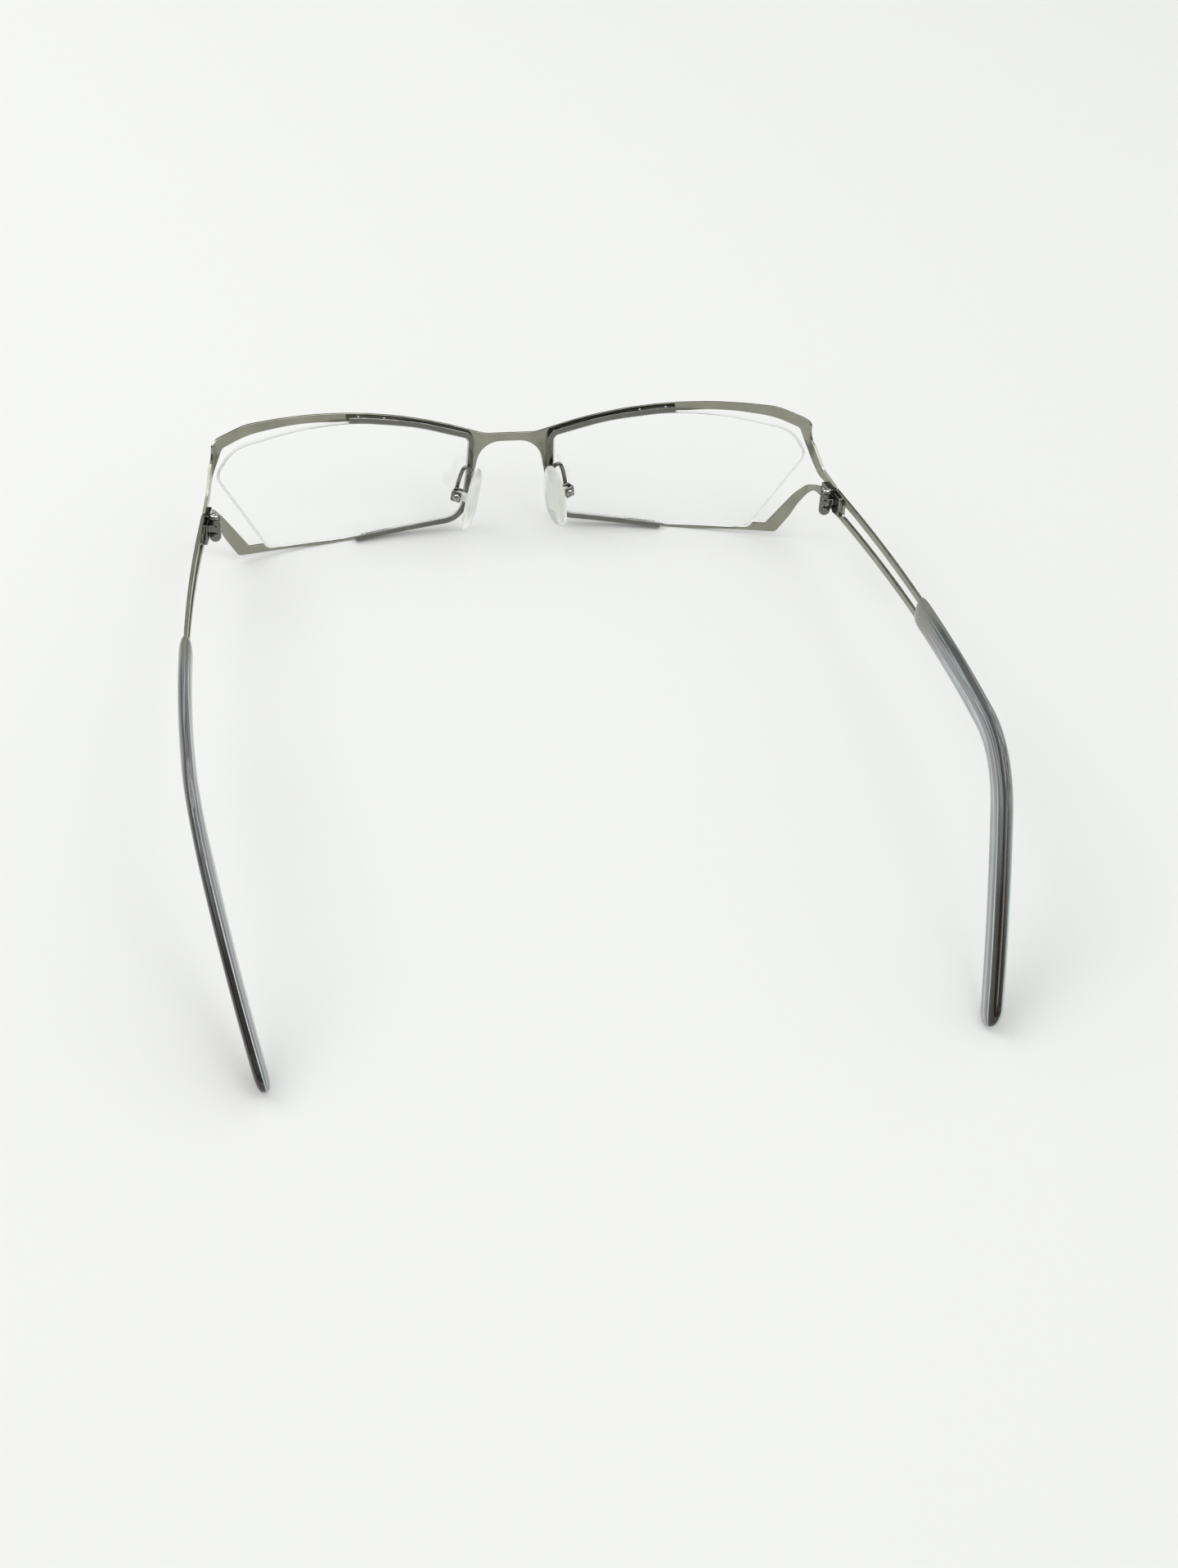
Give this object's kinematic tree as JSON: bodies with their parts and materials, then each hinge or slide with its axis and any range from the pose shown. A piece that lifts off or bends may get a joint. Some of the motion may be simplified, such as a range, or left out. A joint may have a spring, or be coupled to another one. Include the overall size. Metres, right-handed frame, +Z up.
{
  "type": "eyeglasses",
  "caption": "Rectangular half-rimmed metal eyeglasses with clear lenses, split two-bar temples, smoky temple tips and clear nose pads, open and at rest.",
  "frame": {"origin": "on the table, under the middle of the glasses' bounding box", "axes": "+X towards the wearer's left, +Y from the lenses back along the temples, +Z up from the table; the glasses rest on their lower rims and their temple tips, so the front leans back by about 13 degrees"},
  "size_m": [0.1542, 0.1572, 0.0324],
  "materials": {
    "gunmetal": "polished",
    "core_metal": "satin",
    "screw_metal": "polished",
    "lens": "clear, polished",
    "nylon": "clear, smooth",
    "silicone": "clear, soft",
    "pad_plastic": "clear",
    "smoke_acetate": "polished, see-through"
  },
  "bodies": {
    "front": {"front_plate": "gunmetal", "half_rim_left": "gunmetal", "half_rim_right": "gunmetal", "rim_liner_left": "nylon", "rim_liner_right": "nylon", "lens_left": "lens", "lens_right": "lens", "lens_cord_left": "nylon", "lens_cord_right": "nylon", "pad_arm_left": "gunmetal", "pad_arm_right": "gunmetal", "pad_box_left": "gunmetal", "pad_box_right": "gunmetal", "pad_screw_left": "screw_metal", "pad_screw_right": "screw_metal", "hinge_front_leaf_left": "gunmetal", "hinge_front_leaf_right": "gunmetal", "hinge_screw_left": "screw_metal", "hinge_screw_right": "screw_metal"},
    "nose_pad_left": {"nose_pad_left": "silicone", "pad_insert_left": "pad_plastic"},
    "temple_left": {"temple_left": "gunmetal", "hinge_temple_leaf_left": "gunmetal", "temple_core_left": "core_metal", "temple_tip_left": "smoke_acetate"},
    "nose_pad_right": {"nose_pad_right": "silicone", "pad_insert_right": "pad_plastic"},
    "temple_right": {"temple_right": "gunmetal", "hinge_temple_leaf_right": "gunmetal", "temple_core_right": "core_metal", "temple_tip_right": "smoke_acetate"}
  },
  "joints": [
    {"name": "temple_left_fold", "type": "hinge", "parent": "front", "child": "temple_left", "pos_m": [0.06577, -0.053, 0.01978], "axis": [0, -0.2195, 0.9756], "range_deg": [0, 94]},
    {"name": "temple_right_fold", "type": "hinge", "parent": "front", "child": "temple_right", "pos_m": [-0.06577, -0.053, 0.01978], "axis": [0, 0.2195, -0.9756], "range_deg": [0, 90]},
    {"name": "nose_pad_left_rock", "type": "hinge", "parent": "front", "child": "nose_pad_left", "pos_m": [0.01207, -0.07007, 0.01144], "axis": [0.4226, 0.8842, 0.1989], "range_deg": [-8, 8]},
    {"name": "nose_pad_right_rock", "type": "hinge", "parent": "front", "child": "nose_pad_right", "pos_m": [-0.01207, -0.07007, 0.01144], "axis": [0.4226, -0.8842, -0.1989], "range_deg": [-8, 8]}
  ]
}
